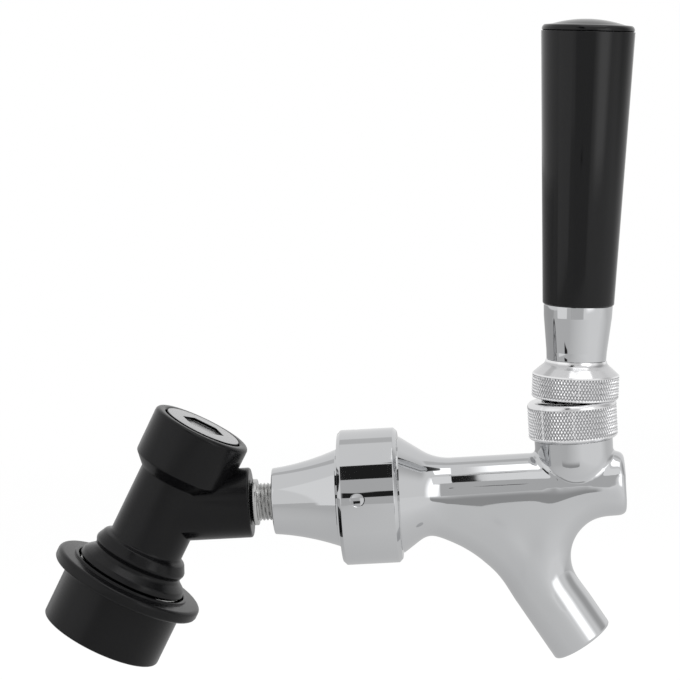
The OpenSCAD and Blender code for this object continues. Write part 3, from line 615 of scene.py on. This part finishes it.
def knurledRing(name, profile, place, radius, low, high):
    bm = spunMesh(softCorners(profile), knurl["starts"] * knurl["perFlute"])
    cutKnurl(bm, radius, low, high)
    return meshObject(name, bm, place)


bonnetSizes = {"r": 11.35, "low": 12.3, "top": 22.2, "lowBevel": 0.9, "topBevel": 1.3,
               "threadR": 8.93, "threadTop": 17.4, "seatR": 7.6, "seatTop": 18.4, "seatIn": 1.2,
               "holeR": 7.7}


def makeBonnet(b):
    low, high = b["low"] + b["lowBevel"], b["top"] - b["topBevel"]
    profile = [(b["threadR"], b["low"]), (b["r"] - b["lowBevel"] - 0.2, b["low"]),
               (b["r"] - 0.6, b["low"] + 0.28), (b["r"] - 0.2, b["low"] + 0.6)]
    profile += knurlRows(b["r"], low, high)
    shoulder = b["topBevel"] + 0.1
    profile += arcPoints((b["r"] - shoulder, b["top"] - shoulder), shoulder, 8, 90, 6)
    profile += [(b["holeR"], b["top"], 0.2), (b["seatR"] - b["seatIn"], b["seatTop"]),
                (b["seatR"], b["seatTop"]), (b["seatR"], b["threadTop"]),
                (b["threadR"], b["threadTop"])]
    bonnet = knurledRing("knurledBonnet", profile, faucetPlace, b["r"], low, high)
    finishPiece(bonnet, "bonnet", "root", 60)


collarSizes = {"r": 11.05, "low": 10.3, "bandLen": 6.2, "top": 20, "hollow": 2.9, "rim": 1.15,
               "threadR": 4.76, "shoulderR": 7.65}


def makeLeverCollar(c):
    low, high = c["low"] + 0.35, c["low"] + c["bandLen"] - 0.3
    profile = [(c["r"] - c["rim"], c["low"]), (c["r"] - 0.3, c["low"])]
    profile += knurlRows(c["r"], low, high)
    profile += [(c["r"] - 0.25, high + 0.35, 0.15), (c["shoulderR"] + 1.35, high + 1.95, 0.8),
                (c["shoulderR"] + 0.3, c["top"] - 1, 1.5), (c["shoulderR"], c["top"]),
                (c["threadR"], c["top"]), (c["threadR"], c["low"] + c["hollow"]),
                (c["r"] - c["rim"], c["low"] + c["hollow"])]
    collar = knurledRing("knurledCollar", profile, leverPlace, c["r"], low, high)
    finishPiece(collar, "lever_collar", "lever", 60)


makeBonnet(bonnetSizes)
makeLeverCollar(collarSizes)
print("knurled rings made")

# Ferrule and handle: a chrome ferrule that widens upwards, a tapered grip and its domed cap
handleSizes = {"ferruleLow": 20, "ferruleBore": 11.6, "threadR": 4.76, "lowR": 7.55, "topR": 8.75,
               "gripLow": 34.1, "gripTop": 102.9, "gripLowR": 9.05, "gripTopR": 11.8, "studR": 4,
               "plugR": 8.6, "plugLen": 6, "plugGap": 0.3, "domeLen": 3.1, "rimIn": 0.15,
               "rimRise": 0.25, "rimRound": 1.3, "domeIn": 1.8, "domeFoot": 1.5}


def makeHandle(s):
    low, high, boreTop = s["ferruleLow"], s["gripLow"], s["ferruleLow"] + s["ferruleBore"]
    ferrule = softCorners([(s["threadR"], low), (s["lowR"], low, 0.25),
                           (s["lowR"] + 0.12, low + 2.2, 3), (s["topR"] - 0.12, high - 3, 4),
                           (s["topR"], high, 0.2), (s["studR"], high), (s["studR"], boreTop),
                           (s["threadR"], boreTop)], 8)
    finishPiece(meshObject("chromeFerrule", spunMesh(ferrule, 160), leverPlace),
                "handle_ferrule", "lever")
    top, plugLow = s["gripTop"], s["gripTop"] - s["plugLen"]
    grip = softCorners([(s["studR"], high), (s["gripLowR"], high, 0.5), (s["gripTopR"], top, 0.12),
                        (s["plugR"], top), (s["plugR"], plugLow), (s["studR"], plugLow)], 6)
    finishPiece(meshObject("handleGrip", spunMesh(grip, 160), leverPlace), "handle_grip", "lever")

    # the cap's dome is an arc that ends where its rounded rim begins
    edgeR, rimTop, capLow = s["gripTopR"] - s["rimIn"], top + s["rimRise"], top + 0.02
    reach, rise = edgeR - s["domeIn"], s["domeLen"] - s["domeFoot"]
    domeR = (reach ** 2 + rise ** 2) / (2 * rise)
    domeA = math.degrees(math.asin(reach / domeR))
    dome = arcPoints((0, top + s["domeLen"] - domeR), domeR, 90 - domeA, 90, 16)
    plugR, plugEnd = s["plugR"] - 0.05, plugLow + s["plugGap"]
    cap = [(0, plugEnd), (plugR, plugEnd), (plugR, capLow), (edgeR - 0.3, capLow), (edgeR, rimTop)]
    cap += arcPoints((edgeR - s["rimRound"], rimTop + 0.15), s["rimRound"], 5, 60, 6)
    cap += dome[1:-1] + [(0, top + s["domeLen"])]
    finishPiece(meshObject("handleCap", spunMesh(cap, 160), leverPlace), "handle_cap", "lever", 40)


makeHandle(handleSizes)
print("handle made")

# Keg disconnect: the body is turned with its branch joined on, and the collar slides outside it.
# Heights are stations (S) along the disconnect's axis, from where the branch meets it
discSizes = {"headR": 13, "headTop": 23.4, "headLow": 11, "tubeR": 9.9, "stepR": 11.3,
             "beadR": 12.5, "waistR": 11.7, "bellR": 14.6, "bellS": -19.6, "spigotR": 12.4,
             "spigotS": -35, "capR": 10.45, "capS": 21.8, "plugR": 9.08, "plugS": 10.2,
             "branchR": 9, "branchLen": 22.8, "threadR": 4.86, "threadLen": 9.9,
             "mouthS": -36, "mouthR": 10, "entryR": 9.4, "entryS": -27.22, "guideR": 9,
             "guideS": -21, "innerR": 7.8, "innerS": -15, "pockets": 4, "pocketR": 2.44,
             "pocketS": -30, "pocketX": 10.75, "pocketIn": 3.4, "pocketOut": 4}


def turnBody(d):
    bell, low = d["bellS"], d["headLow"]
    outside = softCorners([
        (0, d["spigotS"]), (d["spigotR"], d["spigotS"], 0.4), (d["spigotR"], bell),
        (d["bellR"], bell, 0.3), (d["bellR"] - 0.5, bell + 1.6, 1), (d["waistR"], bell + 3.6, 1.2),
        (d["beadR"], bell + 5.6, 1.2), (d["stepR"], bell + 8, 1.2), (d["tubeR"], bell + 8.8, 1),
        (d["tubeR"], low - 3.2, 0.8), (d["headR"] - 0.1, low, 1), (d["headR"], d["headTop"], 1.1),
        (d["capR"], d["headTop"], 0.7), (d["capR"], d["capS"]), (d["plugR"], d["capS"]),
        (d["plugR"], d["plugS"]), (0, d["plugS"])], 6)
    body = meshObject("disconnectBody", spunMesh(outside, 160))
    threadEnd = d["branchLen"] - d["threadLen"]
    branch = softCorners([(0, 2), (d["branchR"], 2), (d["branchR"], d["branchLen"], 0.6),
                          (d["threadR"], d["branchLen"]), (d["threadR"], threadEnd),
                          (0, threadEnd)], 6)
    upright = Matrix.Rotation(-discLean, 4, "Y") @ sideways
    cutWith(body, meshObject("branch", spunMesh(branch, 128), upright), "UNION")
    return body


# The socket for the post, and the pockets that the locking balls sit in
def cutPostSocket(body, d):
    socket = [(0, d["mouthS"]), (d["mouthR"], d["mouthS"]), (d["mouthR"], d["mouthS"] + 1),
              (d["entryR"], d["mouthS"] + 1.8), (d["entryR"], d["entryS"]),
              (d["guideR"], d["entryS"] + 0.3), (d["guideR"], d["guideS"]),
              (d["innerR"], d["guideS"] + 0.8), (d["innerR"], d["innerS"]), (0, d["innerS"])]
    cutWith(body, meshObject("socket", spunMesh(socket, 128)))
    outwards = Matrix.Translation((d["pocketX"], 0, d["pocketS"])) @ sideways
    for i in range(d["pockets"]):
        turn = Matrix.Rotation(math.radians(360 * (i + 0.5) / d["pockets"]), 4, "Z")
        pocket = spunMesh([(0, -d["pocketIn"]), (d["pocketR"], -d["pocketIn"]),
                           (d["pocketR"], d["pocketOut"]), (0, d["pocketOut"])], 32)
        cutWith(body, meshObject("pocket", pocket, turn @ outwards))


def makeDisconnect(d):
    body = turnBody(d)
    cutPostSocket(body, d)
    body.data.transform(discPlace)
    finishPiece(body, "disconnect_body", "root", 40)


# Release collar: a sleeve with a finger flange, and a cone inside that holds the balls in
sleeveSizes = {"flangeR": 20, "flangeTop": -20.3, "flangeLen": 3.2, "skirtR": 16.1,
               "skirtS": -38.3, "skirtBoreR": 14.2, "boreR": 14.9, "coneR": 13.05,
               "coneS": -27.6, "coneEndS": -35.5, "lipR": 15.8, "lipTop": -19.75}


def makeReleaseCollar(c):
    top, low = c["flangeTop"], c["flangeTop"] - c["flangeLen"]
    points = softCorners([
        (c["boreR"], c["coneS"]), (c["coneR"], c["coneS"]), (c["skirtBoreR"], c["coneEndS"]),
        (c["skirtBoreR"], c["skirtS"], 0.3), (c["skirtR"], c["skirtS"], 0.6),
        (c["skirtR"], low, 0.5), (c["flangeR"], low, 0.9), (c["flangeR"], top, 1.1),
        (c["lipR"], top, 0.2), (c["lipR"] - 0.05, c["lipTop"], 0.3),
        (c["boreR"], c["lipTop"], 0.15)], 7)
    collar = meshObject("releaseCollar", spunMesh(points, 192), discPlace)
    finishPiece(collar, "release_collar", "collar", 40)


def makeTopCap(c):
    top, seat = c["top"], c["seatS"]
    points = softCorners([(0, c["guideS"]), (c["guideR"], c["guideS"]), (c["guideR"], c["plugS"]),
                          (c["plugR"], c["plugS"]), (c["plugR"], seat), (c["radius"], seat),
                          (c["radius"], top, c["edge"]), (0, top)])
    cap = meshObject("greyCap", spunMesh(points, 160))
    hexR, hexLow = c["hexAcross"] / 2 / math.cos(math.pi / 6), top - c["hexDepth"]
    hexagon = spunMesh([(0, hexLow), (hexR, hexLow), (hexR, top + 2), (0, top + 2)], 6)
    cutWith(cap, meshObject("hexagon", hexagon))
    cap.data.transform(discPlace)
    finishPiece(cap, "top_cap", "root")


makeDisconnect(discSizes)
makeReleaseCollar(sleeveSizes)
makeTopCap(capSizes)
print("disconnect made")

# Studio: a white tent over a pale floor. Cards that only reflections see give the metal its grey
# front, its panels and their dark edges. Places are in metres, and the cards and lamps stand round
# the middle, by azimuth, elevation and distance
studio = {"floorZ": -0.1, "floorSize": 6, "worldLight": 0.62, "tentGlow": 0.9,
          "middle": (0.1, 0, 0.021)}


# Rays that see the tent and the floor in a reflection or through something clear
def addMirroredRays(tree, path):
    return addNode(tree, "ShaderNodeMath", {"operation": "MAXIMUM"},
                   {0: path.outputs["Is Glossy Ray"],
                    1: path.outputs["Is Transmission Ray"]}).outputs[0]


def makeWorld(s):
    world = bpy.data.worlds.new("tent")
    bpy.context.scene.world = world
    world.use_nodes = True
    tree = world.node_tree
    path = addNode(tree, "ShaderNodeLightPath")
    lit = addNode(tree, "ShaderNodeMapRange", {"To Min": s["worldLight"], "To Max": s["tentGlow"]},
                  {"Value": addMirroredRays(tree, path)})
    level = addNode(tree, "ShaderNodeMath", {"operation": "MAXIMUM"},
                    {0: lit.outputs["Result"], 1: path.outputs["Is Camera Ray"]})
    tree.links.new(level.outputs[0], tree.nodes["Background"].inputs["Strength"])
    tree.nodes["Background"].inputs["Color"].default_value = (1, 1, 1, 1)


# What the camera sees of the floor fades to white with distance. Its level in reflections goes
# from near to far and, times that, from left to right
floorLevels = {"fadeFrom": 0.25, "fadeTo": 0.9, "nearShare": 0.8, "farShare": 1.0,
               "nearY": -0.1, "farY": 0.25, "near": 0.8, "far": 0.6,
               "leftX": -0.3, "rightX": 0.3, "left": 0.8, "right": 1.2}


# The floor keeps the object's shadow close by and fades into the white background further off
def makeFloor(s, f):
    bm = bmesh.new()
    bmesh.ops.create_grid(bm, x_segments=1, y_segments=1, size=s["floorSize"])
    floor = meshObject("floor", bm)
    floor.location = (s["middle"][0], 0, s["floorZ"])
    material = startMaterial("paleFloor", {"Base Color": srgb("#f4f4f4"), "Roughness": 0.9})
    tree = material.node_tree
    path = addNode(tree, "ShaderNodeLightPath")
    place = tree.nodes["Texture Coordinate"].outputs["Object"]
    reach = addNode(tree, "ShaderNodeVectorMath", {"operation": "LENGTH"}, {0: place})
    fade = addNode(tree, "ShaderNodeMapRange",
                   {"From Min": f["fadeFrom"], "From Max": f["fadeTo"],
                    "To Min": f["nearShare"], "To Max": f["farShare"]},
                   {"Value": reach.outputs["Value"]})
    toCamera = addNode(tree, "ShaderNodeMath", {"operation": "MULTIPLY"},
                       {0: fade.outputs["Result"], 1: path.outputs["Is Camera Ray"]})
    share = addNode(tree, "ShaderNodeMath", {"operation": "MAXIMUM"},
                    {0: toCamera.outputs[0], 1: addMirroredRays(tree, path)})
    sides = addNode(tree, "ShaderNodeSeparateXYZ", None, {0: place})
    depthLevel = addNode(tree, "ShaderNodeMapRange",
                         {"From Min": f["nearY"], "From Max": f["farY"],
                          "To Min": f["near"], "To Max": f["far"]}, {"Value": sides.outputs["Y"]})
    sideLevel = addNode(tree, "ShaderNodeMapRange",
                        {"From Min": f["leftX"], "From Max": f["rightX"],
                         "To Min": f["left"], "To Max": f["right"]}, {"Value": sides.outputs["X"]})
    lit = addNode(tree, "ShaderNodeMath", {"operation": "MULTIPLY"},
                  {0: depthLevel.outputs["Result"], 1: sideLevel.outputs["Result"]})
    glow = addNode(tree, "ShaderNodeMath", {"operation": "MAXIMUM"},
                   {0: lit.outputs[0], 1: path.outputs["Is Camera Ray"]})
    light = addNode(tree, "ShaderNodeEmission", {"Color": (1, 1, 1, 1)},
                    {"Strength": glow.outputs[0]})
    mix = addNode(tree, "ShaderNodeMixShader", None,
                  {0: share.outputs[0], 1: tree.nodes["Principled BSDF"].outputs[0],
                   2: light.outputs[0]})
    tree.links.new(mix.outputs[0], tree.nodes["Material Output"].inputs["Surface"])
    floor.data.materials.append(material)


square = [(-0.5, -0.5), (0.5, -0.5), (0.5, 0.5), (-0.5, 0.5)]


# The edges of a card fade over a share of its width and height
def addCard(name, place, width, height, level, soft, outline=square):
    bm = bmesh.new()
    bm.faces.new([bm.verts.new((x, y, 0)) for x, y in outline])
    card = meshObject(name, bm)
    card.matrix_world = place @ Matrix.Diagonal((width, height, 1, 1))
    material = bpy.data.materials.new(name)
    material.use_nodes = True
    tree = material.node_tree
    inside = addNode(tree, "ShaderNodeVectorMath", {"operation": "ABSOLUTE"},
                     {0: addNode(tree, "ShaderNodeTexCoord").outputs["Object"]})
    sides = addNode(tree, "ShaderNodeSeparateXYZ", None, {0: inside.outputs[0]})
    fades = [addNode(tree, "ShaderNodeMapRange",
                     {"interpolation_type": "SMOOTHSTEP", "From Min": 0.5 - share,
                      "From Max": 0.5, "To Min": 1.0, "To Max": 0.0},
                     {"Value": sides.outputs[axis]}).outputs["Result"]
             for axis, share in zip("XY", soft)]
    cover = addNode(tree, "ShaderNodeMath", {"operation": "MULTIPLY"}, {0: fades[0], 1: fades[1]})
    glow = addNode(tree, "ShaderNodeEmission", {"Color": (1, 1, 1, 1), "Strength": level})
    clear = addNode(tree, "ShaderNodeBsdfTransparent")
    mix = addNode(tree, "ShaderNodeMixShader", None,
                  {0: cover.outputs[0], 1: clear.outputs[0], 2: glow.outputs[0]})
    tree.links.new(mix.outputs[0], tree.nodes["Material Output"].inputs["Surface"])
    card.data.materials.append(material)
    card.visible_camera = False
    card.visible_diffuse = False
    card.visible_shadow = False


def facing(place, aim):
    turn = (place - aim).to_track_quat("Z", "Y")
    return Matrix.Translation(place) @ turn.to_matrix().to_4x4()


# The direction from what is looked at back to who looks, at an angle round it and a height angle
def backFrom(azimuth, elevation):
    a, e = math.radians(azimuth), math.radians(elevation)
    return Vector((math.sin(a) * math.cos(e), -math.cos(a) * math.cos(e), math.sin(e)))


cards = [
    # name, azimuth, elevation, distance, width, height, level, soft edges, shift
    ("frontGrey", 0, 17.6, 0.21, 0.18, 0.163, 0.6, (0.12, 0.02), 0),
    ("topBox", 0, 84.5, 0.5, 0.3, 0.225, 2.0, (0.05, 0.03), 0.13),
    ("upperPanel", 0, 50.7, 0.4, 0.32, 0.185, 1.05, (0.02, 0.01), 0.145),
    ("panelLine", 0, 36.8, 0.4, 0.3, 0.006, 0.02, (0.2, 0.01), 0.1),
    ("boxLine", 0, 65.6, 0.4, 0.05, 0.008, 0.02, (0.4, 0.01), -0.01),
    ("nutFlag", 0, 48.5, 0.395, 0.082, 0.215, 0.02, (0.02, 0.02), -0.054),
    ("nutBar", 0, 12.7, 0.0615, 0.024, 0.009, 0.02, (0.08, 0.1), -0.036),
    ("barrelStreak", 0, 20, 0.195, 0.022, 0.006, 0.02, (0.3, 0.1), -0.002),
    ("leftBox", -57, 20, 0.8, 0.61, 0.92, 1.03, (0.08, 0.05), 0),
    ("leftFlag", -99, -17.6, 0.315, 0.075, 0.05, 0.02, (0.3, 0.1), 0),
    ("rightBox", 41, 20, 0.8, 0.66, 0.85, 2.0, (0.4, 0.12), 0),
    ("rightGrey", 102, 21, 0.8, 0.85, 0.9, 0.5, (0.42, 0.3), 0),
    ("backStrip", 180, 61, 0.8, 1.2, 0.25, 0.66, (0.1, 0.2), 0),
]


def hangCards(s):
    for name, azimuth, elevation, distance, width, height, level, soft, shift in cards:
        aim = Vector(s["middle"]) + Vector((shift, 0, 0))
        place = facing(aim + backFrom(azimuth, elevation) * distance, aim)
        addCard(name, place, width, height, level, soft)


# A small flag close under the barrel, its lower edge cut to a curve, darkens only the lower side
barrelFlag = {"centre": (0.1045, -0.05, 0.004), "width": 0.05, "height": 0.036, "level": 0.4,
              "soft": (0.06, 0.35),
              "outline": [(-0.5, 0.05), (-0.37, 0.0), (-0.23, -0.04), (-0.12, -0.02), (0, -0.02),
                          (0.12, -0.02), (0.25, 0.01), (0.37, 0.03), (0.5, 0.13), (0.5, 0.5),
                          (-0.5, 0.5)]}


def hangBarrelFlag(b):
    place = Matrix.Translation(b["centre"]) @ Matrix.Rotation(math.pi / 2, 4, "X")
    addCard("barrelFlag", place, b["width"], b["height"], b["level"], b["soft"], b["outline"])


lamps = [
    # name, azimuth, elevation, distance, width, height, watts
    ("topLamp", 0, 75, 1.0, 1.4, 0.6, 9),
    ("leftLamp", -60, 25, 1.0, 0.5, 1.0, 5),
    ("rightLamp", 65, 20, 1.0, 0.5, 1.0, 5),
]


# Reflections see the cards, not the lamps, as they do inside a tent
def addLamps(s):
    aim = Vector(s["middle"])
    for name, azimuth, elevation, distance, width, height, watts in lamps:
        light = bpy.data.lights.new(name, "AREA")
        light.shape = "RECTANGLE"
        light.size, light.size_y = width, height
        light.energy = watts
        lamp = bpy.data.objects.new(name, light)
        lamp.matrix_world = facing(aim + backFrom(azimuth, elevation) * distance, aim)
        lamp.visible_glossy = False
        bpy.context.scene.collection.objects.link(lamp)


makeWorld(studio)
makeFloor(studio, floorLevels)
hangCards(studio)
hangBarrelFlag(barrelFlag)
addLamps(studio)

# Camera: long lens, a little above the faucet's axis, rolled as the photo is
view = {"azimuth": 3.317, "elevation": 6.5795, "roll": 3.5717, "focalPx": 2570.9, "framePx": 680,
        "filmMm": 36, "target": (0.059962, 0, 0.061739), "distance": 0.6562}


def makeCamera(v):
    back, roll = backFrom(v["azimuth"], v["elevation"]), math.radians(v["roll"])
    right = Vector((math.cos(math.radians(v["azimuth"])), math.sin(math.radians(v["azimuth"])), 0))
    up = back.cross(right)
    rolledRight = right * math.cos(roll) - up * math.sin(roll)
    rolledUp = right * math.sin(roll) + up * math.cos(roll)
    lens = bpy.data.cameras.new("camera")
    lens.sensor_width = v["filmMm"]
    lens.sensor_fit = "HORIZONTAL"
    lens.lens = v["filmMm"] * v["focalPx"] / v["framePx"]
    lens.clip_start, lens.clip_end = 0.01, 20
    camera = bpy.data.objects.new("camera", lens)
    turn = Matrix((rolledRight, rolledUp, back)).transposed().to_4x4()
    camera.matrix_world = Matrix.Translation(Vector(v["target"]) + back * v["distance"]) @ turn
    bpy.context.scene.collection.objects.link(camera)
    bpy.context.scene.camera = camera


makeCamera(view)
bpy.context.scene.view_settings.view_transform = "Standard"
print("studio and camera set")
